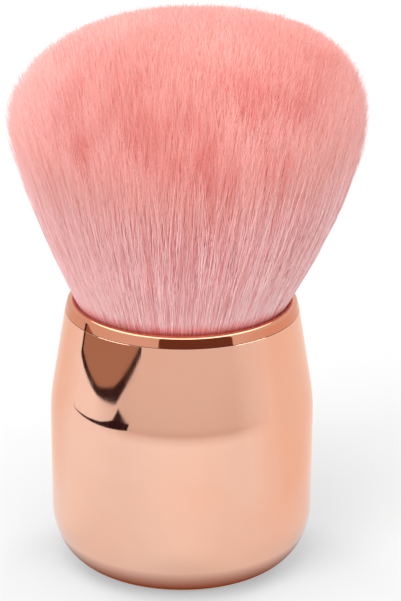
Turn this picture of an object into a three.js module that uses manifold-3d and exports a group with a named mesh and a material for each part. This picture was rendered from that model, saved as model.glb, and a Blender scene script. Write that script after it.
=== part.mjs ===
// Nail dust brush: a weighted, plated handle with a flared head of soft bristles.
// Millimetres, +Z up. The origin is the middle of the flat face that the brush stands on.
import * as THREE from "three";
import { mergeVertices } from "three/addons/utils/BufferGeometryUtils.js";
import Module from "manifold-3d";

const wasm = await Module();
wasm.setup();

// Handle shell, one thick moulding with a turned outside
const shellRadius = 20; // barrel at the shoulder, its widest place
const footInset = 0.1; // barrel's taper down to the rounded base
const baseFlatInset = 7; // from the shell's radius in to the edge of the flat base
const baseCornerHeight = 8.9; // rounded corner between the flat base and the barrel
const shoulderHeight = 26.2; // where the barrel bends into the cone
const shoulderBlend = 2.5; // length of the soft bend on either side of the shoulder
const mouthHeight = 40; // top edge of the cone
const mouthInset = 2.3; // from the shell's radius in to the cone's top edge
const mouthWall = 1; // wall left at the top edge
const floorThickness = 3; // base wall under the hollow
const ledgeWidth = 2.4; // shelf inside the shell that carries the ferrule
const hollowDraft = 0.5; // moulding taper of the hollow below the shelf
const hollowCorner = 2; // fillet between the hollow's wall and floor
const ribCount = 6; // upright ribs that centre the weight
const ribThickness = 1.4;
const ribReach = 2.2; // how far a rib stands in from the foot of the hollow's wall
const ribHeight = 9; // rib above the floor
const ribLeadIn = 1; // sloped top of a rib
const ribRootDepth = 1; // rib's root inside the wall and the floor

// Weight in the base
const weightHeight = 8;
const weightChamfer = 0.8;
const weightPadThickness = 0.5; // adhesive pad under the weight

// Ferrule, a thin drawn tube with a lip rolled outwards over the shell's top edge
const ferruleDepth = 13; // tube below the shell's top edge
const ferruleWall = 0.5;
const ferruleFlange = 2.4; // bottom edge turned in under the roots
const ferruleBedThickness = 0.6; // adhesive ring that the ferrule is bedded on
const crimpDepth = 0.5; // ring rolled into the tube, to grip the resin
const crimpHalfWidth = 1;

// What the ferrule holds below the bristles
const rootDiscThickness = 1;
const rootBlockHeight = 4; // cured resin under the bristle roots
const backingHeight = 2; // slice of resin that each bundle stands in
const tieHeight = 2; // binding wound round the roots
const tieThickness = 0.75;

// Bristle head
const headRadius = 26.7; // widest place of the head
const skirtRise = 27.9; // ferrule's lip to the widest place
const crownRise = 15.6; // widest place to the top of the head
const headLean = 0.8; // sideways drift of the crown, as the bristles have settled
const leanBend = 1.5; // exponent of the lean, which grows towards the crown
const crownFullness = 2.1; // exponent of the crown's outline, 2 being an ellipse
const crownSpread = 1.3; // evens out the tips over the crown
const skirtBow = 0.55; // how far the flare bulges beyond a straight line
const strandRings = 10; // rings of strands round the middle one
const strandsPerRing = 5.45; // each ring has about this many more than the last
const strandReach = 0.42; // middle of a strand to its corner, up to the lip
const strandSwell = 0.4; // added to that reach towards the tip, where the hairs spread
const crownSwell = 0.4; // added to the tip's reach once more in the middle of the head, less towards the skirt
const strandRootDepth = 1; // root inside the backing
const tipScatter = 0.9; // unevenness of the strands' length

// Fits and fineness
const fitClearance = 0.3;
const outerTurnSegments = 48;
const innerTurnSegments = 20;
const curveSegments = 6;
const beadSegments = 10;

// Sizes that follow from those above
const seatRadius = shellRadius - mouthInset - mouthWall;
const tubeOuterRadius = seatRadius - fitClearance;
const tubeInnerRadius = tubeOuterRadius - ferruleWall;
const ferruleBase = mouthHeight - ferruleDepth;
const ledgeHeight = ferruleBase - ferruleBedThickness;
const hollowRadius = seatRadius - ledgeWidth;
const hollowFootRadius = hollowRadius - hollowDraft;
const ribInnerRadius = hollowFootRadius - ribReach;
const weightRadius = ribInnerRadius - fitClearance;
const weightBase = floorThickness + weightPadThickness;
const beadRadius = (mouthWall + fitClearance + ferruleWall) / 2;
const beadMiddleRadius = tubeInnerRadius + beadRadius;
const beadMiddleHeight = mouthHeight + fitClearance + beadRadius;
const lipHeight = beadMiddleHeight + beadRadius;
const rootRadius = tubeInnerRadius - fitClearance;
const rootDiscBase = ferruleBase + ferruleWall;
const rootBlockBase = rootDiscBase + rootDiscThickness;
const crimpMiddle = rootBlockBase + rootBlockHeight / 2;
const backingBase = rootBlockBase + rootBlockHeight;
const backingTop = backingBase + backingHeight;
const tieInnerRadius = rootRadius - tieThickness;
const backingRadius = tieInnerRadius - fitClearance;
const ringPitch = (backingRadius + fitClearance / 2) / (strandRings + 0.5);
const lipStrandRadius = rootRadius - strandReach;
const headRise = skirtRise + crownRise;
const coreRings = Math.round(0.4 * strandRings); // the bundles split the rings of strands at these
const innerRings = Math.round(0.6 * strandRings);
const middleRings = Math.round(0.8 * strandRings);

// Turns an outline in the (radius, height) plane about the upright axis.
function turned(outline, segments = innerTurnSegments) {
  const points = outline.getPoints(curveSegments);
  return new THREE.LatheGeometry(points, segments).rotateX(Math.PI / 2);
}

// A ring of rectangular section, or a disc where the inner radius is zero.
function ring(innerRadius, outerRadius, base, height) {
  const outline = new THREE.Path();
  outline.moveTo(innerRadius, base);
  outline.lineTo(outerRadius, base);
  outline.lineTo(outerRadius, base + height);
  outline.lineTo(innerRadius, base + height);
  if (innerRadius > 0) outline.lineTo(innerRadius, base);
  return turned(outline);
}

// A closed surface made ready for joining: shared corners merged, slivers at the axis left out.
function solidFrom(geometry) {
  const bare = geometry.clone();
  bare.deleteAttribute("normal");
  bare.deleteAttribute("uv");
  const merged = mergeVertices(bare, 1e-4);
  const corners = merged.index.array;
  const triangles = [];
  for (let i = 0; i < corners.length; i += 3) {
    const [a, b, c] = corners.slice(i, i + 3);
    if (a !== b && b !== c && c !== a) triangles.push(a, b, c);
  }
  return new wasm.Manifold(new wasm.Mesh({
    numProp: 3,
    vertProperties: new Float32Array(merged.attributes.position.array),
    triVerts: new Uint32Array(triangles),
  }));
}

function geometryFrom(solid) {
  const mesh = solid.getMesh();
  const geometry = new THREE.BufferGeometry();
  geometry.setAttribute("position", new THREE.BufferAttribute(mesh.vertProperties, mesh.numProp));
  geometry.setIndex(new THREE.BufferAttribute(mesh.triVerts, 1));
  geometry.computeVertexNormals();
  return geometry;
}

// One upright rib of the hollow, standing along +X.
function weightRib() {
  const top = floorThickness + ribHeight;
  const outer = hollowRadius + ribRootDepth;
  const bottom = floorThickness - ribRootDepth;
  const outline = new THREE.Shape();
  outline.moveTo(ribInnerRadius, bottom);
  outline.lineTo(outer, bottom);
  outline.lineTo(outer, top);
  outline.lineTo(ribInnerRadius + ribLeadIn, top);
  outline.lineTo(ribInnerRadius, top - ribLeadIn);
  const rib = new THREE.ExtrudeGeometry(outline, { depth: ribThickness, bevelEnabled: false });
  return rib.translate(0, 0, -ribThickness / 2).rotateX(Math.PI / 2);
}

// The shell's outside is a rounded base, a near-straight barrel and a cone up to the mouth.
// Inside, a counterbore takes the ferrule, and the drafted hollow below it holds the weight.
function handleShell() {
  const flatRadius = shellRadius - baseFlatInset;
  const footRadius = shellRadius - footInset;
  const mouthRadius = shellRadius - mouthInset;
  const coneSlope = mouthInset / (mouthHeight - shoulderHeight);
  const outline = new THREE.Path();
  outline.moveTo(0, 0);
  outline.lineTo(flatRadius, 0);
  outline.absellipse(
    flatRadius, baseCornerHeight, footRadius - flatRadius, baseCornerHeight, -Math.PI / 2, 0,
  );
  outline.lineTo(shellRadius, shoulderHeight - shoulderBlend);
  outline.quadraticCurveTo(
    shellRadius, shoulderHeight,
    shellRadius - shoulderBlend * coneSlope, shoulderHeight + shoulderBlend,
  );
  outline.lineTo(mouthRadius, mouthHeight);
  outline.lineTo(seatRadius, mouthHeight);
  outline.lineTo(seatRadius, ledgeHeight);
  outline.lineTo(hollowRadius, ledgeHeight);
  outline.lineTo(hollowFootRadius, floorThickness + hollowCorner);
  outline.quadraticCurveTo(
    hollowFootRadius, floorThickness, hollowFootRadius - hollowCorner, floorThickness,
  );
  outline.lineTo(0, floorThickness);

  let shell = solidFrom(turned(outline, outerTurnSegments));
  const rib = weightRib();
  for (let i = 0; i < ribCount; i++) {
    const turn = (2 * Math.PI * i) / ribCount;
    shell = shell.add(solidFrom(rib.clone().rotateZ(turn)));
  }
  return geometryFrom(shell);
}

function baseWeight() {
  const top = weightBase + weightHeight;
  const outline = new THREE.Path();
  outline.moveTo(0, weightBase);
  outline.lineTo(weightRadius - weightChamfer, weightBase);
  outline.lineTo(weightRadius, weightBase + weightChamfer);
  outline.lineTo(weightRadius, top - weightChamfer);
  outline.lineTo(weightRadius - weightChamfer, top);
  outline.lineTo(0, top);
  return turned(outline);
}

// Follows the ring that is rolled into the ferrule, upwards or downwards, at the given radius.
function crimpCurve(outline, radius, rise) {
  outline.lineTo(radius, crimpMiddle - rise);
  outline.quadraticCurveTo(radius - 2 * crimpDepth, crimpMiddle, radius, crimpMiddle + rise);
}

function ferrule() {
  const flangeRadius = tubeInnerRadius - ferruleFlange;
  const outline = new THREE.Path();
  outline.moveTo(flangeRadius, ferruleBase);
  outline.lineTo(tubeOuterRadius, ferruleBase);
  crimpCurve(outline, tubeOuterRadius, crimpHalfWidth);
  const curlStart = -Math.acos((tubeOuterRadius - beadMiddleRadius) / beadRadius);
  for (let i = 0; i <= beadSegments; i++) {
    const angle = THREE.MathUtils.lerp(curlStart, Math.PI, i / beadSegments);
    outline.lineTo(
      beadMiddleRadius + beadRadius * Math.cos(angle),
      beadMiddleHeight + beadRadius * Math.sin(angle),
    );
  }
  crimpCurve(outline, tubeInnerRadius, -crimpHalfWidth);
  outline.lineTo(tubeInnerRadius, ferruleBase + ferruleWall);
  outline.lineTo(flangeRadius, ferruleBase + ferruleWall);
  outline.lineTo(flangeRadius, ferruleBase);
  return turned(outline, outerTurnSegments);
}

// The resin has set round the crimp, so it carries the same groove.
function rootBlock() {
  const outline = new THREE.Path();
  outline.moveTo(0, rootBlockBase);
  outline.lineTo(rootRadius, rootBlockBase);
  crimpCurve(outline, rootRadius, crimpHalfWidth);
  outline.lineTo(rootRadius, backingBase);
  outline.lineTo(0, backingBase);
  return turned(outline);
}

// The middle of a strand at a share of its way from the lip, at 0, to the head's surface, at 1.
// Strands of one ring follow one curve, and the rings' curves are nested, so that none cross.
function strandMiddle(ringNumber, angle, share) {
  const ringShare = ringNumber / strandRings;
  const crownAngle = (Math.PI / 2) * ringShare ** crownSpread;
  const tipRadius = headRadius * Math.sin(crownAngle) ** (2 / crownFullness);
  const tipRise = skirtRise + crownRise * Math.cos(crownAngle) ** (2 / crownFullness);
  const bowed = share + skirtBow * share * (1 - share);
  const radius = THREE.MathUtils.lerp(ringShare * lipStrandRadius, tipRadius, bowed);
  const rise = tipRise * share;
  const lean = headLean * (rise / headRise) ** leanBend;
  return new THREE.Vector3(
    radius * Math.cos(angle) + lean, radius * Math.sin(angle), lipHeight + rise,
  );
}

// Adds one three-sided strand to the lists: a root, the given stations and a pointed tip.
function addStrand(positions, triangles, angle, stations, tip) {
  const first = positions.length / 3;
  for (const { middle, reach } of stations) {
    for (let corner = 0; corner < 3; corner++) {
      const turn = angle + (2 * Math.PI * corner) / 3;
      positions.push(middle.x + reach * Math.cos(turn), middle.y + reach * Math.sin(turn), middle.z);
    }
  }
  positions.push(tip.x, tip.y, tip.z);
  const apex = first + 3 * stations.length;
  const topRing = apex - 3;
  triangles.push(first, first + 2, first + 1);
  for (let corner = 0; corner < 3; corner++) {
    const next = (corner + 1) % 3;
    for (let low = first; low < topRing; low += 3) {
      triangles.push(low + corner, low + next, low + 3 + next);
      triangles.push(low + corner, low + 3 + next, low + 3 + corner);
    }
    triangles.push(topRing + corner, topRing + next, apex);
  }
}

// A bundle of strands, from one ring of the head to another, fused to its slice of the backing.
function bristleBundle(firstRing, lastRing) {
  const goldenTurn = Math.PI * (3 - Math.sqrt(5));
  const goldenShare = (Math.sqrt(5) - 1) / 2;
  const flareShare = 0.45;
  const shoulderShare = 0.94;
  const positions = [];
  const triangles = [];
  for (let ringNumber = firstRing; ringNumber <= lastRing; ringNumber++) {
    const count = Math.max(1, Math.round(strandsPerRing * ringNumber));
    const tipReach = strandReach + strandSwell + crownSwell * (1 - ringNumber / strandRings);
    for (let i = 0; i < count; i++) {
      const angle = (2 * Math.PI * i) / count + goldenTurn * ringNumber;
      const scatter = (goldenShare * (i + ringNumber ** 2)) % 1;
      const reachShare = 1 - (tipScatter * scatter) / headRise;
      const root = new THREE.Vector3(
        ringNumber * ringPitch * Math.cos(angle),
        ringNumber * ringPitch * Math.sin(angle),
        backingTop - strandRootDepth,
      );
      const along = (share) => strandMiddle(ringNumber, angle, share * reachShare);
      const stations = [
        { middle: root, reach: strandReach },
        { middle: along(0), reach: strandReach },
      ];
      // Strands of the core are nearly straight, so only the others bend in the flare.
      if (ringNumber > coreRings) {
        stations.push({ middle: along(flareShare), reach: strandReach + strandSwell / 2 });
      }
      stations.push({ middle: along(shoulderShare), reach: tipReach });
      addStrand(positions, triangles, angle, stations, along(1));
    }
  }
  const strands = new THREE.BufferGeometry();
  strands.setAttribute("position", new THREE.Float32BufferAttribute(positions, 3));
  strands.setIndex(triangles);
  const sliceInner = firstRing > 0 ? (firstRing - 0.5) * ringPitch + fitClearance / 2 : 0;
  const sliceOuter = (lastRing + 0.5) * ringPitch - fitClearance / 2;
  const slice = ring(sliceInner, sliceOuter, backingBase, backingHeight);
  return geometryFrom(solidFrom(slice).add(solidFrom(strands)));
}

const platedShell = { color: 0xf1bca5, metalness: 1, roughness: 0.14 };
const platedFerrule = { color: 0xf0b69c, metalness: 1, roughness: 0.1 };
const plainSteel = { color: 0x8a8c8e, metalness: 1, roughness: 0.5 };
const clearAdhesive = { color: 0xe6dfd2, metalness: 0, roughness: 0.35 };
const amberResin = { color: 0xc99a63, metalness: 0, roughness: 0.3 };
const greySheet = { color: 0xb3ada4, metalness: 0, roughness: 0.9 };
const bindingThread = { color: 0xede6dc, metalness: 0, roughness: 0.95 };
const coralFibre = { color: 0xf3a49c, metalness: 0, roughness: 0.6 };
const paleFibre = { color: 0xe4b0b0, metalness: 0, roughness: 0.6 };

const brush = new THREE.Group();

function addPiece(name, geometry, finish) {
  const piece = new THREE.Mesh(geometry, new THREE.MeshStandardMaterial(finish));
  piece.name = name;
  brush.add(piece);
}

addPiece("handle_shell", handleShell(), platedShell);
addPiece(
  "weight_pad",
  ring(0, weightRadius - weightChamfer, floorThickness, weightPadThickness),
  clearAdhesive,
);
addPiece("base_weight", baseWeight(), plainSteel);
addPiece(
  "ferrule_bed",
  ring(hollowRadius, tubeOuterRadius, ledgeHeight, ferruleBedThickness),
  clearAdhesive,
);
addPiece("ferrule", ferrule(), platedFerrule);
addPiece("root_disc", ring(0, rootRadius, rootDiscBase, rootDiscThickness), greySheet);
addPiece("root_block", rootBlock(), amberResin);
addPiece("root_tie", ring(tieInnerRadius, rootRadius, backingBase, tieHeight), bindingThread);
addPiece("bristle_core", bristleBundle(0, coreRings), coralFibre);
addPiece("bristle_inner", bristleBundle(coreRings + 1, innerRings), coralFibre);
addPiece("bristle_middle", bristleBundle(innerRings + 1, middleRings), coralFibre);
addPiece("bristle_skirt", bristleBundle(middleRings + 1, strandRings), paleFibre);

export default brush;
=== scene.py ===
# Nail dust brush: a weighted, rose gold plated handle with a flared head of soft coral bristles.
# Metres, +Z up, in the same frame as the solids. The pieces follow in the order of assembly.
import math

import bmesh
import bpy
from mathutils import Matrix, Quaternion, Vector


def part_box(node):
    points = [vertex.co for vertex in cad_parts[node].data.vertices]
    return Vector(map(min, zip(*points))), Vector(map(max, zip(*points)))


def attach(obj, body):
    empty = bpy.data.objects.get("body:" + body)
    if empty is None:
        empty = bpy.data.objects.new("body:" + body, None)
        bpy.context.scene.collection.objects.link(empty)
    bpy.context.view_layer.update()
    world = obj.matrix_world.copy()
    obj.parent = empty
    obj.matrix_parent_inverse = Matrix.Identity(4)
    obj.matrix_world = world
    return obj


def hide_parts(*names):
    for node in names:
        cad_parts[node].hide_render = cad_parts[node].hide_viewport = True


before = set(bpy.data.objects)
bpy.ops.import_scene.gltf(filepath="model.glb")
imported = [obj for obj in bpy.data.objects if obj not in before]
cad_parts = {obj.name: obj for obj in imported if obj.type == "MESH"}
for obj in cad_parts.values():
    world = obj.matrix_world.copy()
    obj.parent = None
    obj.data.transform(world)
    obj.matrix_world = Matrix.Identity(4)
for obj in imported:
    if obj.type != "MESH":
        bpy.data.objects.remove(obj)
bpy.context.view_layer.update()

# Camera: a long lens at arm's length, a little above the brush, that looks down on it by about 20 degrees.
# The brush stands a little left of the middle of the picture.
mm = 0.001
camera_place = Vector((0, -461.6, 212.2)) * mm
camera_aim = Vector((2.75, 0, 41.4)) * mm
camera_roll = math.radians(0.3)
camera_lens = 195.4
camera_sensor = 36

camera_data = bpy.data.cameras.new("camera")
camera_data.lens = camera_lens
camera_data.sensor_width = camera_sensor
camera = bpy.data.objects.new("camera", camera_data)
bpy.context.scene.collection.objects.link(camera)
camera.location = camera_place
camera.rotation_mode = "QUATERNION"
level = (camera_aim - camera_place).to_track_quat("-Z", "Y")
camera.rotation_quaternion = level @ Quaternion((0, 0, 1), camera_roll)
bpy.context.scene.camera = camera
bpy.context.scene.view_settings.view_transform = "Standard"

# Handle shell: one thick moulding with a rounded base, a near-straight barrel and a cone up to its mouth,
# polished and plated rose gold. Inside, a shelf carries the ferrule and six ribs centre the weight.
shell_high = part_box("handle_shell")[1]
shell_radius = shell_high.x
mouth_height = shell_high.z
barrel_draft = 0.1 * mm
flat_inset = 7 * mm
base_corner_height = 8.9 * mm
shoulder_height = 26.2 * mm
shoulder_blend = 2.5 * mm
cone_inset = 2.3 * mm
mouth_wall = 1 * mm
mouth_edge = 0.03 * mm
mouth_gap = 0.03 * mm
lip_gap = 0.3 * mm
shelf_width = 2.4 * mm
hollow_draft = 0.5 * mm
hollow_corner = 2 * mm
rib_count = 6
rib_thickness = 1.4 * mm
rib_depth = 2.2 * mm
rib_height = 9 * mm
rib_lead_in = 1 * mm
rib_root = 1 * mm
foot_radius = shell_radius - barrel_draft
flat_radius = shell_radius - flat_inset
mouth_radius = shell_radius - cone_inset
seat_radius = mouth_radius - mouth_wall
shelf_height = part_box("ferrule_bed")[0].z
hollow_radius = seat_radius - shelf_width
hollow_foot_radius = hollow_radius - hollow_draft
floor_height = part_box("weight_pad")[0].z
rib_inner_radius = hollow_foot_radius - rib_depth
rib_top = floor_height + rib_height
turn_segments = 256
corner_steps = 32
shoulder_steps = 16
hollow_steps = 8
crease_angle = math.radians(35)


def arc(middle, reach, start, end, steps):
    """Points on an elliptical arc in the (radius, height) plane, between two angles in degrees."""
    points = []
    for step in range(steps + 1):
        angle = math.radians(start + (end - start) * step / steps)
        points.append((middle[0] + reach[0] * math.cos(angle), middle[1] + reach[1] * math.sin(angle)))
    return points


def bend(start, corner, end, steps):
    """Points on a soft bend from start to end, drawn towards the corner between them."""
    points = []
    for step in range(steps + 1):
        t = step / steps
        a, b, c = (1 - t) ** 2, 2 * t * (1 - t), t * t
        points.append(tuple(a * p + b * q + c * r for p, q, r in zip(start, corner, end)))
    return points


def turned(name, outline, closed=False):
    """An object turned from (radius, height) points that run up the outside and back down the inside."""
    work = bmesh.new()
    rings = []
    for radius, height in outline:
        count = turn_segments if radius > 0 else 1
        turns = [2 * math.pi * step / count for step in range(count)]
        rings.append([work.verts.new((radius * math.cos(t), radius * math.sin(t), height)) for t in turns])
    pairs = list(zip(rings, rings[1:]))
    if closed:
        pairs.append((rings[-1], rings[0]))
    for low, high in pairs:
        for step in range(turn_segments):
            after = step + 1
            corners = [low[step % len(low)], low[after % len(low)]]
            corners += [high[after % len(high)], high[step % len(high)]]
            work.faces.new(list(dict.fromkeys(corners)))
    return made_object(name, work)


def made_object(name, work):
    """A smooth-shaded object from an edited mesh, with creases kept at its sharp edges."""
    mesh = bpy.data.meshes.new(name)
    work.to_mesh(mesh)
    work.free()
    mesh.shade_smooth()
    mesh.set_sharp_from_angle(angle=crease_angle)
    piece = bpy.data.objects.new(name, mesh)
    bpy.context.scene.collection.objects.link(piece)
    return piece


cone_slope = (shell_radius - mouth_radius) / (mouth_height - shoulder_height)
bend_start = (shell_radius, shoulder_height - shoulder_blend)
bend_end = (shell_radius - shoulder_blend * cone_slope, shoulder_height + shoulder_blend)
corner_reach = (foot_radius - flat_radius, base_corner_height)
shell_outline = [(0, 0)]
shell_outline += arc((flat_radius, base_corner_height), corner_reach, -90, 0, corner_steps)
shell_outline += bend(bend_start, (shell_radius, shoulder_height), bend_end, shoulder_steps)
mouth_top = mouth_height + lip_gap - mouth_gap
shell_outline += [(mouth_radius, mouth_top - mouth_edge), (mouth_radius - mouth_edge, mouth_top)]
shell_outline += [(seat_radius, mouth_top), (seat_radius, shelf_height), (hollow_radius, shelf_height)]
shell_outline += bend(
    (hollow_foot_radius, floor_height + hollow_corner),
    (hollow_foot_radius, floor_height),
    (hollow_foot_radius - hollow_corner, floor_height),
    hollow_steps,
)
shell_outline.append((0, floor_height))
handle_shell = turned("plated_handle", shell_outline)

rib_side = [
    (rib_inner_radius, floor_height - rib_root),
    (hollow_radius + rib_root, floor_height - rib_root),
    (hollow_radius + rib_root, rib_top),
    (rib_inner_radius + rib_lead_in, rib_top),
    (rib_inner_radius, rib_top - rib_lead_in),
]
rib_work = bmesh.new()
for rib_number in range(rib_count):
    rib_turn = Quaternion((0, 0, 1), 2 * math.pi * rib_number / rib_count)
    sides = []
    for side in (-rib_thickness / 2, rib_thickness / 2):
        sides.append([rib_work.verts.new(rib_turn @ Vector((r, side, h))) for r, h in rib_side])
    near, far = sides
    rib_work.faces.new(near)
    rib_work.faces.new(far[::-1])
    for corner in range(len(rib_side)):
        after = (corner + 1) % len(rib_side)
        rib_work.faces.new([near[after], near[corner], far[corner], far[after]])
ribs = made_object("weight_ribs", rib_work)
rib_union = handle_shell.modifiers.new("ribs", "BOOLEAN")
rib_union.operation = "UNION"
rib_union.object = ribs
depsgraph = bpy.context.evaluated_depsgraph_get()
ribbed = bpy.data.meshes.new_from_object(handle_shell.evaluated_get(depsgraph))
handle_shell.modifiers.clear()
handle_shell.data = ribbed
bpy.data.objects.remove(ribs)


def add_node(tree, kind, inputs=None, **settings):
    """Adds a node. An input is given a plain value, or the socket that feeds it."""
    node = tree.nodes.new(kind)
    for setting, value in settings.items():
        setattr(node, setting, value)
    for socket, value in (inputs or {}).items():
        if isinstance(value, bpy.types.NodeSocket):
            tree.links.new(value, node.inputs[socket])
        else:
            node.inputs[socket].default_value = value
    return node


def new_finish(name, **surface):
    """A material with the given values on its shader. Returns it with its tree and shader."""
    finish = bpy.data.materials.new(name)
    finish.use_nodes = True
    shader = finish.node_tree.nodes["Principled BSDF"]
    for socket, value in surface.items():
        shader.inputs[socket.replace("_", " ")].default_value = value
    return finish, finish.node_tree, shader


def noise(tree, place, scale, detail=2.0, roughness=0.5):
    """A noise texture's value, with features of about one metre over the scale."""
    sizes = {"Vector": place, "Scale": scale, "Detail": detail, "Roughness": roughness}
    return add_node(tree, "ShaderNodeTexNoise", sizes).outputs[0]


def spread(tree, value, low, high, new_low, new_high):
    """Stretches a value from one range to another, held at the ends."""
    ranges = {0: value, 1: low, 2: high, 3: new_low, 4: new_high}
    return add_node(tree, "ShaderNodeMapRange", ranges).outputs[0]


def blended(tree, share, first, second):
    """A colour between two, each a plain colour or a socket."""
    mixed = add_node(tree, "ShaderNodeMix", {0: share, 6: first, 7: second}, data_type="RGBA")
    return mixed.outputs[2]


def rose_gold(name, pale, deep, wave_height):
    """Polished rose gold plating: faint drifts of colour, polishing marks round it, and a few specks."""
    cloud_scale, haze_scale, wave_scale = 45, 320, 110
    mark_stretch = (2, 0, 9000)
    mark_roughness = 0.015
    mark_height = 0.0004 * mm
    speck_scale = 95
    speck_colour = (0.36, 0.17, 0.1, 1)
    finish, tree, shader = new_finish(name, Metallic=1.0)
    place = add_node(tree, "ShaderNodeTexCoord").outputs["Object"]
    drift = spread(tree, noise(tree, place, cloud_scale, 3), 0.35, 0.65, 0, 1)
    plating = blended(tree, drift, pale, deep)

    # Marks left by the polishing wheel, drawn out round the handle
    axes = add_node(tree, "ShaderNodeSeparateXYZ", {0: place})
    turn = add_node(tree, "ShaderNodeMath", {0: axes.outputs[1], 1: axes.outputs[0]}, operation="ARCTAN2")
    wrapped = add_node(tree, "ShaderNodeCombineXYZ", {0: turn.outputs[0], 2: axes.outputs[2]})
    stretch = {0: wrapped.outputs[0], 1: mark_stretch}
    drawn = add_node(tree, "ShaderNodeVectorMath", stretch, operation="MULTIPLY")
    marks = noise(tree, drawn.outputs[0], 1, 3, 0.6)

    # Specks of dust, one here and there
    cells = add_node(tree, "ShaderNodeTexVoronoi", {"Vector": place, "Scale": speck_scale})
    speck = spread(tree, cells.outputs["Distance"], 0.012, 0.02, 1, 0)
    speckled = blended(tree, speck, plating, speck_colour)
    tree.links.new(speckled, shader.inputs["Base Color"])

    # A faint haze, a little rougher along the marks
    haze = spread(tree, noise(tree, place, haze_scale, 4), 0.3, 0.7, 0.025, 0.05)
    wear = {0: marks, 1: mark_roughness, 2: haze}
    worn = add_node(tree, "ShaderNodeMath", wear, operation="MULTIPLY_ADD")
    tree.links.new(worn.outputs[0], shader.inputs["Roughness"])

    # Long shallow waves of the moulding below, and the marks' own relief
    wave = noise(tree, place, wave_scale, 1)
    waved = add_node(tree, "ShaderNodeBump", {"Strength": 1.0, "Distance": wave_height, "Height": wave})
    fine = {"Strength": 0.25, "Distance": mark_height, "Height": marks, "Normal": waved.outputs[0]}
    brushed = add_node(tree, "ShaderNodeBump", fine)
    tree.links.new(brushed.outputs[0], shader.inputs["Normal"])
    return finish


shell_plating = rose_gold(
    "rose_gold_shell", pale=(0.865, 0.525, 0.4, 1), deep=(0.865, 0.485, 0.352, 1), wave_height=0.012 * mm
)
handle_shell.data.materials.clear()
handle_shell.data.materials.append(shell_plating)
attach(handle_shell, "root")
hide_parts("handle_shell")

# Weight and its pad: a sawn steel slug in the base, stuck down with hot-melt adhesive between the ribs.
# The same adhesive beds the ferrule on the shell's shelf. All of it is closed in.


def cover(node, finish):
    """Gives a solid of the frame its finish."""
    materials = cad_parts[node].data.materials
    materials.clear()
    materials.append(finish)


def mottled(name, pale, deep, grain, rough_low, rough_high, bump_height, **surface):
    """A plain material with uneven colour, roughness and relief at the size of its grain."""
    finish, tree, shader = new_finish(name, **surface)
    place = add_node(tree, "ShaderNodeTexCoord").outputs["Object"]
    value = noise(tree, place, grain, 4, 0.6)
    tint = blended(tree, spread(tree, value, 0.3, 0.7, 0, 1), pale, deep)
    tree.links.new(tint, shader.inputs["Base Color"])
    tree.links.new(spread(tree, value, 0.3, 0.7, rough_low, rough_high), shader.inputs["Roughness"])
    relief = add_node(tree, "ShaderNodeBump", {"Distance": bump_height, "Height": value})
    tree.links.new(relief.outputs[0], shader.inputs["Normal"])
    return finish


sawn_steel = mottled(
    "sawn_steel",
    pale=(0.32, 0.33, 0.34, 1),
    deep=(0.21, 0.21, 0.22, 1),
    grain=1800,
    rough_low=0.35,
    rough_high=0.6,
    bump_height=0.02 * mm,
    Metallic=1.0,
)
hot_melt = mottled(
    "hot_melt_adhesive",
    pale=(0.78, 0.73, 0.64, 1),
    deep=(0.7, 0.64, 0.54, 1),
    grain=500,
    rough_low=0.25,
    rough_high=0.45,
    bump_height=0.05 * mm,
)
cover("base_weight", sawn_steel)
cover("weight_pad", hot_melt)
cover("ferrule_bed", hot_melt)

# Ferrule: a thin drawn tube with the same plating, pushed down to the shelf. Its plating is coloured a
# darker bronze than the shell's, a painted reflection of the dark surroundings mirrored in its lip. Its lip
# is rolled outwards over the shell's top edge, with a face that leans back a little. A ring crimped into
# the tube grips the resin, and its bottom edge is turned in.
ferrule_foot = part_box("ferrule")[0].z
tube_clearance = 0.3 * mm
tube_outer_radius = seat_radius - tube_clearance
ferrule_wall = 0.5 * mm
tube_inner_radius = tube_outer_radius - ferrule_wall
flange_width = 2.4 * mm
flange_radius = tube_inner_radius - flange_width
bead_radius = 0.9 * mm
lip_half_width = 0.76 * mm
lip_tilt = math.radians(15)
lip_edge = 0.06 * mm
lip_steps = 32
lip_underside = mouth_height + lip_gap
bead_height = lip_underside + bead_radius
lip_height = bead_height + bead_radius
block_low, block_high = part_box("root_block")
crimp_height = (block_low.z + block_high.z) / 2
crimp_depth = 0.5 * mm
crimp_half = 1 * mm
crimp_steps = 10
lip_middle = (tube_inner_radius + lip_half_width, bead_height)
roll_start = math.atan(bead_radius / lip_half_width * math.tan(lip_tilt))
face_top = (
    lip_middle[0] + lip_half_width * math.cos(roll_start),
    lip_middle[1] + bead_radius * math.sin(roll_start),
)
face_foot = face_top[0] + (face_top[1] - lip_underside - lip_edge) * math.tan(lip_tilt)


def crimp(radius, rise):
    """The ring rolled into the tube, followed upwards or downwards."""
    start = (radius, crimp_height - rise)
    end = (radius, crimp_height + rise)
    return bend(start, (radius - 2 * crimp_depth, crimp_height), end, crimp_steps)


flange_top = ferrule_foot + ferrule_wall
ferrule_outline = [(flange_radius, ferrule_foot), (tube_outer_radius, ferrule_foot)]
ferrule_outline += crimp(tube_outer_radius, crimp_half)
ferrule_outline += [(tube_outer_radius, lip_underside), (face_foot - lip_edge, lip_underside)]
ferrule_outline += [(face_foot, lip_underside + lip_edge)]
lip_reach = (lip_half_width, bead_radius)
ferrule_outline += arc(lip_middle, lip_reach, math.degrees(roll_start), 180, lip_steps)
ferrule_outline += crimp(tube_inner_radius, -crimp_half)
ferrule_outline += [(tube_inner_radius, flange_top), (flange_radius, flange_top)]
ferrule = turned("rolled_ferrule", ferrule_outline, closed=True)
# A darker bronze than the shell's: painted reflection of the dark surroundings in the lip
ferrule_plating_painted_dark = rose_gold(
    "rose_gold_ferrule", pale=(0.72, 0.31, 0.2, 1), deep=(0.66, 0.26, 0.155, 1), wave_height=0.004 * mm
)
ferrule.data.materials.append(ferrule_plating_painted_dark)
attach(ferrule, "root")
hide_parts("ferrule")

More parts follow.
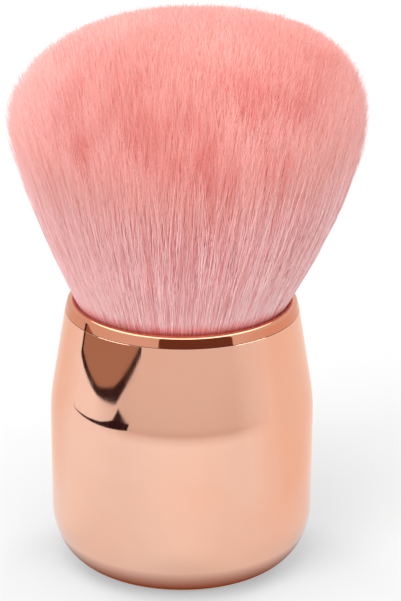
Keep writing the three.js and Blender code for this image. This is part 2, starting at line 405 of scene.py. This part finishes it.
# Root pieces: a punched plastic disc closes the tube's bottom while the amber resin is poured, and a thread
# is wound round the bristle roots before potting. They are out of sight below the lip.
punched_sheet = mottled(
    "punched_sheet",
    pale=(0.47, 0.44, 0.39, 1),
    deep=(0.4, 0.37, 0.33, 1),
    grain=1200,
    rough_low=0.6,
    rough_high=0.8,
    bump_height=0.02 * mm,
)
amber_resin = mottled(
    "amber_resin",
    pale=(0.6, 0.33, 0.13, 1),
    deep=(0.5, 0.25, 0.08, 1),
    grain=260,
    rough_low=0.12,
    rough_high=0.3,
    bump_height=0.03 * mm,
)
thread_scale = 1300
thread_height = 0.1 * mm
wound_thread, thread_tree, thread_shader = new_finish("wound_thread", Roughness=0.9)
thread_place = add_node(thread_tree, "ShaderNodeTexCoord").outputs["Object"]
thread_turns = add_node(
    thread_tree,
    "ShaderNodeTexWave",
    {"Vector": thread_place, "Scale": thread_scale, "Distortion": 0.4, "Detail": 1},
    bands_direction="Z",
)
thread_colour = blended(thread_tree, thread_turns.outputs[1], (0.62, 0.56, 0.48, 1), (0.85, 0.8, 0.73, 1))
thread_tree.links.new(thread_colour, thread_shader.inputs["Base Color"])
thread_relief = add_node(
    thread_tree, "ShaderNodeBump", {"Distance": thread_height, "Height": thread_turns.outputs[1]}
)
thread_tree.links.new(thread_relief.outputs[0], thread_shader.inputs["Normal"])
cover("root_disc", punched_sheet)
cover("root_block", amber_resin)
cover("root_tie", wound_thread)

# Bristles: thousands of fine, tapered synthetic filaments, set in the resin and flared into a dome. Their
# roots are pale mauve pink and the rest coral. They gather in small tufts, and their lengths vary a little.
root_sink = 2 * mm
root_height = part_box("bristle_skirt")[0].z + root_sink
root_radius = 14 * mm
lip_clearance = 0.1 * mm
lip_radius = tube_inner_radius - lip_clearance
bend_above_bead = 0.2 * mm
bend_height = bead_height + bend_above_bead
bend_drop = lip_height - bend_height
head_radius = 26.7 * mm
skirt_rise = 27.9 * mm
crown_rise = 15.6 * mm
head_lean = 1.1 * mm
lean_bend = 1.5
crown_fullness = 2.1
crown_spread = 1.3
skirt_bow = 0.32
bow_lean = 0.15
shoulder_lift = 1.5 * mm
shoulder_scale = 9.5
filament_stations = 5
filament_sides = 3
taper_share = 0.8
tuft_scale = 30.0
tuft_gather = 0.08
tuft_scatter = 0.3
strand_scale = 120.0
patch_scale = 4.6
stroke_scale = 18.0
tone_steps = 6
patch_steps = 8
longest_stray = 0.014
widest_fly_out = 0.03
wander_share = 0.03
rim_wander, middle_wander = 1.0, 5.0
# The line right of the middle where the painted sheen of the sides is least
sheen_free_line = 0.22
tone_start, tone_spread = -0.3, 0.8
# How much the painted sheen pales the tone at the sides
side_sheen_paling = 0.5

bundle = bpy.data.node_groups.new("bristle_bundle", "GeometryNodeTree")
bundle.interface.new_socket("Bristles", in_out="OUTPUT", socket_type="NodeSocketGeometry")
bundle_inputs = {}


def bundle_input(name, kind, value):
    """A named input of the bristle tree, with its value."""
    socket = bundle.interface.new_socket(name, in_out="INPUT", socket_type=kind)
    if value is not None:
        socket.default_value = value
    bundle_inputs[name] = socket.identifier


bundle_input("Filaments", "NodeSocketInt", 1000)
bundle_input("Seed", "NodeSocketInt", 1)
bundle_input("Inner Share", "NodeSocketFloat", 0.0)
bundle_input("Outer Share", "NodeSocketFloat", 1.0)
bundle_input("Length Scatter", "NodeSocketFloat", 0.03)
bundle_input("Thickness", "NodeSocketFloat", 0.12 * mm)
bundle_input("Finish", "NodeSocketMaterial", None)

given = add_node(bundle, "NodeGroupInput").outputs


def calc(operation, *values):
    """A number worked out for each point from sockets or plain numbers."""
    inputs = dict(enumerate(values))
    return add_node(bundle, "ShaderNodeMath", inputs, operation=operation).outputs[0]


def vector_calc(operation, *values):
    """A vector worked out for each point."""
    inputs = dict(enumerate(values))
    node = add_node(bundle, "ShaderNodeVectorMath", inputs, operation=operation)
    return node.outputs["Value" if operation == "LENGTH" else "Vector"]


def scaled(vector, factor):
    """A vector times a number."""
    inputs = {0: vector, "Scale": factor}
    return add_node(bundle, "ShaderNodeVectorMath", inputs, operation="SCALE").outputs[0]


number = add_node(bundle, "GeometryNodeInputIndex").outputs[0]


def chance(draw, low=0.0, high=1.0):
    """A random number for each filament, or for each of its stations once it is laid out."""
    seed = calc("MULTIPLY_ADD", given["Seed"], 31.0, float(draw))
    inputs = {2: low, 3: high, "ID": number, "Seed": seed}
    return add_node(bundle, "FunctionNodeRandomValue", inputs, data_type="FLOAT").outputs[1]


def keep(geometry, name, kind, value, domain="POINT"):
    """Stores a value on the geometry under a name."""
    inputs = {"Geometry": geometry, "Name": name, "Value": value}
    node = add_node(bundle, "GeometryNodeStoreNamedAttribute", inputs, data_type=kind, domain=domain)
    return node.outputs[0]


def kept(name, kind="FLOAT"):
    """Reads a stored value back."""
    node = add_node(bundle, "GeometryNodeInputNamedAttribute", {"Name": name}, data_type=kind)
    return node.outputs[0]


# Each filament's place in the round bundle, from 0 in the middle to 1 at the rim
golden_turn = math.pi * (3 - math.sqrt(5))
evenly = calc("DIVIDE", calc("ADD", number, chance(1)), given["Filaments"])
inner_area = calc("POWER", given["Inner Share"], 2.0)
outer_area = calc("POWER", given["Outer Share"], 2.0)
area = calc("ADD", inner_area, calc("MULTIPLY", evenly, calc("SUBTRACT", outer_area, inner_area)))
share = calc("SQRT", area)
turn = calc("ADD", calc("MULTIPLY", number, golden_turn), chance(2, -0.5, 0.5))
turn_right, turn_back = calc("COSINE", turn), calc("SINE", turn)
disc_right = calc("MULTIPLY", share, turn_right)
disc_back = calc("MULTIPLY", share, turn_back)
disc_place = add_node(bundle, "ShaderNodeCombineXYZ", {0: disc_right, 1: disc_back}).outputs[0]

# Neighbours gather towards the middle of a tuft, and a tuft has its own length. A few filaments stand out.
tuft = add_node(bundle, "ShaderNodeTexVoronoi", {"Vector": disc_place, "Scale": tuft_scale})
to_tuft = vector_calc("SUBTRACT", tuft.outputs["Position"], disc_place)
tuft_chance = add_node(bundle, "ShaderNodeSeparateXYZ", {0: tuft.outputs["Color"]}).outputs
shorter = calc("MULTIPLY", given["Length Scatter"], calc("POWER", chance(3), 2.0))
tuft_shorter = calc("MULTIPLY", given["Length Scatter"], calc("MULTIPLY", tuft_chance[0], tuft_scatter))
stray = calc("MULTIPLY", calc("POWER", chance(5), 8.0), longest_stray)
reach = calc("SUBTRACT", calc("ADD", 1.0, stray), calc("ADD", shorter, tuft_shorter))


def held(value, top=1.0):
    """A value held between 0 and a top."""
    return calc("MINIMUM", calc("MAXIMUM", value, 0.0), top)


def ramped(value, slope, start):
    """A share that rises or falls in a straight line with a value, held between 0 and 1."""
    return held(calc("MULTIPLY_ADD", value, slope, start))


def stepped(value, steps):
    """The number of the step that a value between 0 and 1 falls in."""
    return calc("FLOOR", calc("MULTIPLY", held(value, 0.999), float(steps)))


def step_middle(step, steps):
    """The value in the middle of a step."""
    return calc("DIVIDE", calc("ADD", step, 0.5), float(steps))


# A few neighbours share a tone, at random. Towards the sides the tone is paled by a painted sheen, for the
# light the filaments there catch; it is dullest just right of the middle, where the painted sheen is least.
strand = add_node(bundle, "ShaderNodeTexVoronoi", {"Vector": disc_place, "Scale": strand_scale})
strand_chance = add_node(bundle, "ShaderNodeSeparateXYZ", {0: strand.outputs["Color"]}).outputs
strand_tone = calc("MULTIPLY_ADD", strand_chance[0], tone_spread, tone_start)
own_tone = calc("MULTIPLY_ADD", chance(4), tone_spread, strand_tone)
from_sheen_free_line = calc("ABSOLUTE", calc("SUBTRACT", disc_right, sheen_free_line))
painted_side_sheen = ramped(from_sheen_free_line, slope=2.4, start=-1.0)
tone_and_sheen_step = stepped(calc("MULTIPLY_ADD", painted_side_sheen, side_sheen_paling, own_tone), tone_steps)

# Wide patches of painted shade, for the shade between tufts, give the tips a deeper coral. They keep off
# the crown, the sides and the short filaments, and break up into strokes of painted shadow that run
# outwards with the filaments.
patch_noise = {"Vector": disc_place, "Scale": patch_scale, "Detail": 3.0}
patch_drift = add_node(bundle, "ShaderNodeTexNoise", patch_noise).outputs[0]
off_crown = ramped(share, slope=3.0, start=-0.9)
off_side = ramped(calc("ABSOLUTE", disc_right), slope=-3.2, start=2.35)
full_length = ramped(reach, slope=6.0, start=-4.8)
patch_place = calc("MULTIPLY", calc("MULTIPLY", off_crown, off_side), full_length)
painted_shade_patch = calc("MULTIPLY", calc("MULTIPLY_ADD", patch_drift, 7.0, -3.0), patch_place)
fan_axes = {0: turn_right, 1: turn_back, 2: calc("MULTIPLY", share, 0.4)}
fan_place = add_node(bundle, "ShaderNodeCombineXYZ", fan_axes).outputs[0]
stroke_noise = {"Vector": fan_place, "Scale": stroke_scale, "Detail": 1.0}
stroke_drift = add_node(bundle, "ShaderNodeTexNoise", stroke_noise).outputs[0]
shadow_stroke = ramped(stroke_drift, slope=7.0, start=-3.2)
shadow_stroke_depth = calc("MULTIPLY_ADD", shadow_stroke, 1.1, 0.35)
patch_number = stepped(calc("MULTIPLY", painted_shade_patch, shadow_stroke_depth), patch_steps)
fly_out = calc("MULTIPLY_ADD", calc("POWER", chance(6), 6.0), widest_fly_out, 1.0)
map_strip = calc("MULTIPLY_ADD", patch_number, float(tone_steps), tone_and_sheen_step)

points = add_node(bundle, "GeometryNodePoints", {"Count": given["Filaments"]}).outputs[0]
points = keep(points, "disc_place", "FLOAT_VECTOR", disc_place)
points = keep(points, "to_tuft", "FLOAT_VECTOR", to_tuft)
points = keep(points, "reach", "FLOAT", reach)
points = keep(points, "fly_out", "FLOAT", fly_out)
# The tone holds the random tone paled by the painted sheen; the patch holds the painted shade
points = keep(points, "tone", "FLOAT", step_middle(tone_and_sheen_step, tone_steps))
points = keep(points, "patch", "FLOAT", step_middle(patch_number, patch_steps))
points = keep(points, "map_strip", "FLOAT", map_strip)

# One straight line for each, which is then laid along its flow from the resin out to the dome
line = add_node(bundle, "GeometryNodeCurvePrimitiveLine", {"End": (0, 0, 1)}).outputs[0]
stations = {"Curve": line, "Count": filament_stations}
line = add_node(bundle, "GeometryNodeResampleCurve", stations).outputs[0]
lines = add_node(bundle, "GeometryNodeInstanceOnPoints", {"Points": points, "Instance": line}).outputs[0]
lines = add_node(bundle, "GeometryNodeRealizeInstances", {"Geometry": lines}).outputs[0]
along = add_node(bundle, "GeometryNodeSplineParameter").outputs["Factor"]
lines = keep(lines, "along", "FLOAT", along)

# The first stretch runs up inside the ferrule, and the others run on from its lip
below_share = 1 / (filament_stations - 1)
below = calc("MINIMUM", calc("DIVIDE", kept("along"), below_share), 1.0)
past_lip = calc("DIVIDE", calc("SUBTRACT", kept("along"), below_share), 1 - below_share)
above = calc("MULTIPLY", calc("MAXIMUM", past_lip, 0.0), kept("reach"))

# Above the lip a filament draws towards its tuft and wanders a little, most of all in the loose middle
own_place = kept("disc_place", "FLOAT_VECTOR")
gather = calc("MULTIPLY", calc("POWER", above, 1.5), tuft_gather)
spot = vector_calc("ADD", own_place, scaled(kept("to_tuft", "FLOAT_VECTOR"), gather))
astray = {0: chance(7, -wander_share, wander_share), 1: chance(8, -wander_share, wander_share)}
wander = add_node(bundle, "ShaderNodeCombineXYZ", astray).outputs[0]
clear_of_lip = calc("MINIMUM", calc("MULTIPLY", above, 4.0), 1.0)
from_middle = vector_calc("LENGTH", own_place)
looser = calc("MULTIPLY_ADD", from_middle, rim_wander - middle_wander, middle_wander)
spot = vector_calc("ADD", spot, scaled(wander, calc("MULTIPLY", clear_of_lip, looser)))
ring = calc("MINIMUM", vector_calc("LENGTH", spot), 1.0)
outward = vector_calc("NORMALIZE", spot)

# Tips end on a dome, whose right shoulder stands a little higher
to_right = add_node(bundle, "ShaderNodeSeparateXYZ", {0: outward}).outputs[0]
shoulder = calc("MULTIPLY", calc("POWER", ring, 3.0), calc("SUBTRACT", 1.0, ring))
shoulder = calc("MULTIPLY", shoulder, shoulder_scale)
right_shoulder = calc("MULTIPLY", calc("MAXIMUM", to_right, 0.0), shoulder)
crown_angle = calc("MULTIPLY", calc("POWER", ring, crown_spread), math.pi / 2)
tip_radius = calc("MULTIPLY", calc("POWER", calc("SINE", crown_angle), 2 / crown_fullness), head_radius)
tip_radius = calc("MULTIPLY", tip_radius, kept("fly_out"))
crown_height = calc("MAXIMUM", calc("COSINE", crown_angle), 0.0)
crown_share = calc("POWER", crown_height, 2 / crown_fullness)
tip_rise = calc("MULTIPLY_ADD", crown_share, crown_rise, skirt_rise + bend_drop)
tip_rise = calc("MULTIPLY_ADD", right_shoulder, shoulder_lift, tip_rise)

# The way out to the tip bows outwards, and the whole head leans a little to the right
own_bow = calc("MULTIPLY_ADD", to_right, bow_lean, skirt_bow)
bow_hump = calc("MULTIPLY", above, calc("SUBTRACT", 1.0, above))
bowed = calc("MULTIPLY_ADD", bow_hump, own_bow, above)
root_place = calc("MULTIPLY_ADD", below, lip_radius - root_radius, root_radius)
lip_place = calc("MULTIPLY", ring, root_place)
flared = calc("MULTIPLY", bowed, calc("SUBTRACT", tip_radius, calc("MULTIPLY", ring, lip_radius)))
radius = calc("ADD", lip_place, flared)
rise = calc("MULTIPLY", tip_rise, above)
height = calc("ADD", calc("MULTIPLY_ADD", below, bend_height - root_height, root_height), rise)
rise_share = calc("DIVIDE", rise, skirt_rise + crown_rise)
lean = calc("MULTIPLY", calc("POWER", rise_share, lean_bend), head_lean)
lift = add_node(bundle, "ShaderNodeCombineXYZ", {0: lean, 2: height}).outputs[0]
laid = vector_calc("ADD", scaled(outward, radius), lift)
lines = add_node(bundle, "GeometryNodeSetPosition", {"Geometry": lines, "Position": laid}).outputs[0]

# Three-sided filaments that taper to the tip. Those of one tone and patch share a strip of the map.
taper = calc("MULTIPLY_ADD", calc("POWER", kept("along"), 4.0), -taper_share, 1.0)
half_thickness = calc("MULTIPLY", calc("MULTIPLY", given["Thickness"], 0.5), taper)
section_size = {"Resolution": filament_sides, "Radius": 1.0}
section = add_node(bundle, "GeometryNodeCurvePrimitiveCircle", section_size).outputs[0]
round_share = add_node(bundle, "GeometryNodeSplineParameter").outputs["Factor"]
section = keep(section, "round_share", "FLOAT", round_share)
tubes = add_node(
    bundle,
    "GeometryNodeCurveToMesh",
    {"Curve": lines, "Profile Curve": section, "Scale": half_thickness, "Fill Caps": True},
).outputs[0]
strip = calc("MULTIPLY_ADD", kept("round_share"), 0.7, 0.15)
map_across = calc("DIVIDE", calc("ADD", kept("map_strip"), strip), float(tone_steps * patch_steps))
map_place = add_node(bundle, "ShaderNodeCombineXYZ", {0: map_across, 1: kept("along")}).outputs[0]
tubes = keep(tubes, "OFBake", "FLOAT2", map_place, "CORNER")
flat_sides = {"Geometry": tubes, "Shade Smooth": False}
tubes = add_node(bundle, "GeometryNodeSetShadeSmooth", flat_sides).outputs[0]
tubes = add_node(bundle, "GeometryNodeRealizeInstances", {"Geometry": tubes}).outputs[0]
dyed = {"Geometry": tubes, "Material": given["Finish"]}
tubes = add_node(bundle, "GeometryNodeSetMaterial", dyed).outputs[0]
add_node(bundle, "NodeGroupOutput", {0: tubes})


def product(tree, first, second):
    """Two shares multiplied."""
    return add_node(tree, "ShaderNodeMath", {0: first, 1: second}, operation="MULTIPLY").outputs[0]


def filament_finish(name, dull, pale, deep, through):
    """Fine synthetic fibre. Its colour runs from root to tip, and each filament has its own tone. Painted
    sheen and painted shade are mixed into it.
    """
    coral_shift = 0.1
    # The colour of the painted shade and painted red reflection near the lip
    crimson = (0.95, 0.07, 0.045, 1)
    finish, tree, shader = new_finish(name, Roughness=0.5, Specular_IOR_Level=0.2)
    # The tone holds each filament's random tone, paled at the sides by a painted sheen
    along_share = add_node(tree, "ShaderNodeAttribute", attribute_name="along").outputs["Fac"]
    own_tone = add_node(tree, "ShaderNodeAttribute", attribute_name="tone").outputs["Fac"]
    own_patch = add_node(tree, "ShaderNodeAttribute", attribute_name="patch").outputs["Fac"]

    # The coral starts lower on some filaments than on others, and lower still in the patches of painted
    # shade
    offset = spread(tree, own_tone, 0, 1, coral_shift, -coral_shift)
    shift = {0: own_patch, 1: coral_shift, 2: offset}
    lowered = add_node(tree, "ShaderNodeMath", shift, operation="MULTIPLY_ADD")
    way = add_node(tree, "ShaderNodeMath", {0: along_share, 1: lowered.outputs[0]}).outputs[0]
    ends = []
    for stops in (dull, pale, deep):
        ramp = add_node(tree, "ShaderNodeValToRGB", {0: way})
        while len(ramp.color_ramp.elements) < len(stops):
            ramp.color_ramp.elements.new(0.5)
        for stop, (position, colour) in zip(ramp.color_ramp.elements, stops):
            stop.position = position
            stop.color = (*colour, 1)
        ends.append(ramp.outputs[0])
    toned = blended(tree, own_tone, ends[0], ends[1])
    # The deep colours of the patches of painted shade, taken more by the duller filaments
    shade_by_tone = spread(tree, own_tone, 0, 1, 1, 0.6)
    painted_shade_depth = product(tree, spread(tree, own_patch, 0.2, 0.8, 0, 1), shade_by_tone)
    shade_patched = blended(tree, painted_shade_depth, toned, ends[2])

    # Close to the lip the filaments are painted a deep crimson: painted shade where lip and filaments shade
    # each other, and a painted reflection of red light from the lip's inner wall
    lip_shade_by_tone = spread(tree, own_tone, 0, 1, 1.0, 0.75)
    lip_shade_share = product(tree, spread(tree, along_share, 0.255, 0.325, 1, 0), lip_shade_by_tone)
    lip_shaded = blended(tree, lip_shade_share, shade_patched, crimson)

    # Light that has passed through other filaments comes out paler than it would from an opaque one
    bounced = add_node(tree, "ShaderNodeLightPath").outputs["Is Diffuse Ray"]
    tree.links.new(blended(tree, bounced, lip_shaded, through), shader.inputs["Base Color"])
    return finish


coral_fibre = filament_finish(
    "coral_filament",
    dull=[
        (0.3, (0.8, 0.38, 0.39)),
        (0.74, (0.64, 0.225, 0.235)),
        (0.94, (0.78, 0.3, 0.285)),
        (1.0, (0.82, 0.37, 0.33)),
    ],
    pale=[
        (0.3, (0.96, 0.67, 0.675)),
        (0.74, (0.96, 0.65, 0.655)),
        (0.94, (0.94, 0.57, 0.54)),
        (1.0, (0.86, 0.455, 0.405)),
    ],
    # The deep ramp holds the colours of the patches of painted shade
    deep=[
        (0.3, (0.86, 0.52, 0.53)),
        (0.7, (0.82, 0.41, 0.42)),
        (0.87, (0.6, 0.125, 0.13)),
        (1.0, (0.72, 0.22, 0.21)),
    ],
    through=(0.99, 0.88, 0.86, 1),
)


def grow(name, node, seed, inner, outer, scatter, thickness):
    """Grows one bundle of filaments between two shares of the head, as a plain mesh."""
    piece = bpy.data.objects.new(name, bpy.data.meshes.new(name))
    bpy.context.scene.collection.objects.link(piece)
    grown = piece.modifiers.new("bristles", "NODES")
    grown.node_group = bundle
    sizes = {
        "Filaments": bundle_filaments,
        "Seed": seed,
        "Inner Share": inner,
        "Outer Share": outer,
        "Length Scatter": scatter,
        "Thickness": thickness,
        "Finish": coral_fibre,
    }
    for size, value in sizes.items():
        grown[bundle_inputs[size]] = value
    graph = bpy.context.evaluated_depsgraph_get()
    mesh = bpy.data.meshes.new_from_object(
        piece.evaluated_get(graph), preserve_all_data_layers=True, depsgraph=graph
    )
    piece.modifiers.clear()
    piece.data = mesh
    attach(piece, "root")
    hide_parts(node)


# From the middle to the rim: name, node, slot, outer share, scatter of the lengths and thickness in mm
bundle_filaments = 7000
bundles = [
    ("crown_bristles_a", "bristle_core", "bristle_fibre", 0.35, 0.015, 0.2),
    ("crown_bristles_b", "bristle_core", "bristle_fibre", 0.48, 0.015, 0.2),
    ("inner_bristles_a", "bristle_inner", "bristle_fibre", 0.6, 0.015, 0.18),
    ("inner_bristles_b", "bristle_inner", "bristle_fibre", 0.7, 0.02, 0.16),
    ("middle_bristles_a", "bristle_middle", "bristle_fibre", 0.79, 0.04, 0.12),
    ("middle_bristles_b", "bristle_middle", "bristle_fibre", 0.87, 0.06, 0.12),
    ("skirt_bristles_a", "bristle_skirt", "skirt_fibre", 0.93, 0.1, 0.12),
    ("skirt_bristles_b", "bristle_skirt", "skirt_fibre", 0.97, 0.2, 0.12),
    ("skirt_bristles_c", "bristle_skirt", "skirt_fibre", 1.0, 0.4, 0.11),
]
inner_share = 0.0
for bundle_seed, (name, node, slot, outer_share, scatter, thickness) in enumerate(bundles, start=1):
    grow(name, node, bundle_seed, inner_share, outer_share, scatter, thickness * mm)
    inner_share = outer_share

# Studio: a wide white floor that keeps the brush's shadow, a white surround and five large soft lamps.
# Cards round the brush, which only show in reflections, give the polished metal something to mirror.
floor_reach = 3.0
floor_glow = 0.36
floor_shade = 0.49
surround_light = 0.6


def background_ray(tree):
    """One for rays that see the background straight, in a reflection or through something clear."""
    path = add_node(tree, "ShaderNodeLightPath").outputs
    straight = {0: path["Is Camera Ray"], 1: path["Is Glossy Ray"]}
    seen = add_node(tree, "ShaderNodeMath", straight, operation="MAXIMUM")
    through = {0: seen.outputs[0], 1: path["Is Transmission Ray"]}
    return add_node(tree, "ShaderNodeMath", through, operation="MAXIMUM").outputs[0]


floor_work = bmesh.new()
bmesh.ops.create_grid(floor_work, x_segments=1, y_segments=1, size=floor_reach)
floor = made_object("studio_floor", floor_work)
floor_finish, floor_tree, floor_shader = new_finish("white_floor", Roughness=0.9, Specular_IOR_Level=0.0)
floor_shader.inputs["Base Color"].default_value = (floor_shade, floor_shade, floor_shade, 1)
floor_shader.inputs["Emission Color"].default_value = (1, 1, 1, 1)
glow = product(floor_tree, background_ray(floor_tree), floor_glow)
floor_tree.links.new(glow, floor_shader.inputs["Emission Strength"])
floor.data.materials.append(floor_finish)

surround = bpy.data.worlds.new("white_surround")
bpy.context.scene.world = surround
surround.use_nodes = True
surround_tree = surround.node_tree
surround_shader = surround_tree.nodes["Background"]
strength = add_node(
    surround_tree,
    "ShaderNodeMapRange",
    {0: background_ray(surround_tree), 3: surround_light, 4: 1.0},
)
surround_tree.links.new(strength.outputs[0], surround_shader.inputs["Strength"])
surround_shader.inputs["Color"].default_value = (1, 1, 1, 1)


def softbox(name, place, aim_height, width, power):
    """A large square soft lamp, aimed at a height on the brush's axis. The metal doesn't mirror it."""
    lamp = bpy.data.lights.new(name, "AREA")
    lamp.shape = "SQUARE"
    lamp.size = width
    lamp.energy = power
    lamp_object = bpy.data.objects.new(name, lamp)
    bpy.context.scene.collection.objects.link(lamp_object)
    lamp_object.location = place
    lamp_object.visible_glossy = False
    lamp_object.rotation_mode = "QUATERNION"
    aim = Vector((0, 0, aim_height)) - Vector(place)
    lamp_object.rotation_quaternion = aim.to_track_quat("-Z", "Y")


handle_aim, head_aim = 0.04, 0.06
softbox("top_softbox", (-0.2, -0.4, 1.05), handle_aim, width=0.7, power=4.4)
softbox("left_softbox", (-0.7, -1.0, 0.55), handle_aim, width=0.8, power=8.0)
softbox("right_softbox", (0.75, -0.95, 0.5), handle_aim, width=0.8, power=5.2)
softbox("back_left_softbox", (-0.8, 0.8, 0.6), head_aim, width=0.6, power=4.5)
softbox("back_right_softbox", (0.8, 0.8, 0.6), head_aim, width=0.6, power=5.5)


def flat_card(name, corners):
    """A flat sheet with the given corners, in mm."""
    work = bmesh.new()
    work.faces.new([work.verts.new(Vector(corner) * mm) for corner in corners])
    return made_object(name, work)


def round_card(name, outline):
    """A sheet turned round the brush from (radius, height) points in mm."""
    return turned(name, [(radius * mm, height * mm) for radius, height in outline])


def reflected(card, colour, strength=1.0):
    """Makes a sheet a card that shows only in reflections. Returns its tree and its shader."""
    finish, tree, shader = new_finish(
        card.name + "_paper",
        Base_Color=(0, 0, 0, 1),
        Roughness=1.0,
        Specular_IOR_Level=0.0,
        Emission_Color=colour,
        Emission_Strength=strength,
    )
    card.data.materials.clear()
    card.data.materials.append(finish)
    card.visible_camera = False
    card.visible_diffuse = False
    card.visible_shadow = False
    return tree, shader


def cylinder_axes(tree):
    """The angle from the front to the right, the distance from the axis and the height of a point."""
    place = add_node(tree, "ShaderNodeTexCoord").outputs["Object"]
    axes = add_node(tree, "ShaderNodeSeparateXYZ", {0: place}).outputs
    forward = add_node(tree, "ShaderNodeMath", {0: axes[1], 1: -1.0}, operation="MULTIPLY").outputs[0]
    angle = add_node(tree, "ShaderNodeMath", {0: axes[0], 1: forward}, operation="ARCTAN2").outputs[0]
    flattened = add_node(tree, "ShaderNodeVectorMath", {0: place, 1: (1, 1, 0)}, operation="MULTIPLY")
    distance = add_node(tree, "ShaderNodeVectorMath", {0: flattened.outputs[0]}, operation="LENGTH")
    return angle, distance.outputs["Value"], axes[2]


def fade(tree, angle, start, end, low, high):
    """A share that changes between two angles in degrees."""
    return spread(tree, angle, math.radians(start), math.radians(end), low, high)


# A low warm grey wall round the front, which runs out softly on to the floor and at both ends
wall_start, wall_full, wall_radius, wall_height = 110, 190, 200, 45
wall_blend_height = 24 * mm
wall_level = 0.4
wall_points = [(wall_start, wall_level), (wall_radius, wall_level), (wall_radius, wall_height)]
front_wall = round_card("front_wall", wall_points)
wall_tree, wall_shader = reflected(front_wall, (1, 1, 1, 1))
wall_angle, wall_distance, wall_rise = cylinder_axes(wall_tree)
wall_left_end = fade(wall_tree, wall_angle, -80, -50, 0, 1)
wall_right_end = fade(wall_tree, wall_angle, 45, 80, 1, 0)
wall_ends = product(wall_tree, wall_left_end, wall_right_end)
wall_run_out = spread(wall_tree, wall_distance, wall_start * mm, wall_full * mm, 0, 1)
wall_tree.links.new(product(wall_tree, wall_ends, wall_run_out), wall_shader.inputs["Alpha"])
wall_climb = spread(wall_tree, wall_rise, 0, wall_blend_height, 0, 1)
wall_colour = blended(wall_tree, wall_climb, (0.75, 0.65, 0.6, 1), (0.86, 0.78, 0.74, 1))
wall_tree.links.new(wall_colour, wall_shader.inputs["Emission Color"])

# A warm surround at the sides and the back
warm_start, warm_full, warm_radius, warm_height = 24, 50, 205, 60
warm_level = 0.3
warm_points = [(warm_start, warm_level), (warm_radius, warm_level), (warm_radius, warm_height)]
warm_surround = round_card("warm_surround", warm_points)
warm_tree, warm_shader = reflected(warm_surround, (0.99, 0.83, 0.74, 1))
warm_angle, warm_distance = cylinder_axes(warm_tree)[:2]
warm_right = fade(warm_tree, warm_angle, 55, 90, 0, 1)
warm_left = fade(warm_tree, warm_angle, -130, -100, 1, 0)
warm_sides = add_node(warm_tree, "ShaderNodeMath", {0: warm_right, 1: warm_left}).outputs[0]
warm_reach = spread(warm_tree, warm_distance, warm_start * mm, warm_full * mm, 0, 1)
warm_tree.links.new(product(warm_tree, warm_sides, warm_reach), warm_shader.inputs["Alpha"])

# A bright ring overhead, which draws the thin highlight along the lip
ring_inner, ring_outer, ring_height = 390, 660, 600
ring_strength = 5.0
overhead_ring = round_card("overhead_ring", [(ring_inner, ring_height), (ring_outer, ring_height)])
reflected(overhead_ring, (1, 0.95, 0.95, 1), ring_strength)

# A painted shadow: the dark of the crevice under the rounded base, as a dark ring that only the metal
# mirrors
shade_inner, shade_full, shade_outer, shade_level = 13.5, 15.5, 21.3, 0.1
foot_shade = round_card("foot_shade", [(shade_inner, shade_level), (shade_outer, shade_level)])
foot_tree, foot_shader = reflected(foot_shade, (0.24, 0.05, 0.0, 1))
foot_distance = cylinder_axes(foot_tree)[1]
shade_share = spread(foot_tree, foot_distance, shade_full * mm, shade_outer * mm, 1, 0)
foot_tree.links.new(shade_share, foot_shader.inputs["Alpha"])

# A dark brown flag high in front, for the dark rectangle in the front of the lip
flag_left, flag_right, flag_place, flag_bottom, flag_top = -410, 1150, -1000, 90, 1300
flag_corners = [
    (flag_left, flag_place, flag_bottom),
    (flag_right, flag_place, flag_bottom),
    (flag_right, flag_place, flag_top),
    (flag_left, flag_place, flag_top),
]
reflected(flat_card("front_flag", flag_corners), (0.2, 0.09, 0.06, 1))

# Flags at the left, for the dark shape on the handle: a brown one, with a black one just behind it that
# shows as its edge, and a black one near the floor
brown_side, black_side = -119, -120
flag_brown, flag_black = (0.44, 0.26, 0.18, 1), (0.03, 0.012, 0.015, 1)
brown_outline = [(16, 40), (18, 18.5), (-31, 18.2), (-72, 20.8), (-100, 24)]
brown_outline += [(-190, 33.5), (-112, 37), (-104, 40)]
edge_outline = [(22, 40), (24, 16.5), (-31, 16.4), (-80, 17.2), (-112, 22)]
edge_outline += [(-220, 33.5), (-122, 39), (-114, 40)]
foot_outline = [(26, 6.5), (-30, 5.5), (-120, 3), (-127, 13), (-88, 16.5), (-45, 9.5)]
left_flags = [
    ("left_flag", brown_side, brown_outline, flag_brown),
    ("left_flag_edge", black_side, edge_outline, flag_black),
    ("left_flag_foot", black_side, foot_outline, flag_black),
]
for flag_name, side, outline, colour in left_flags:
    reflected(flat_card(flag_name, [(side, y, z) for y, z in outline]), colour)

# Light passes from filament to filament many times before it leaves the head.
light_bounces = 24
bpy.context.scene.cycles.max_bounces = light_bounces
bpy.context.scene.cycles.diffuse_bounces = light_bounces
bpy.context.scene.cycles.caustics_reflective = False
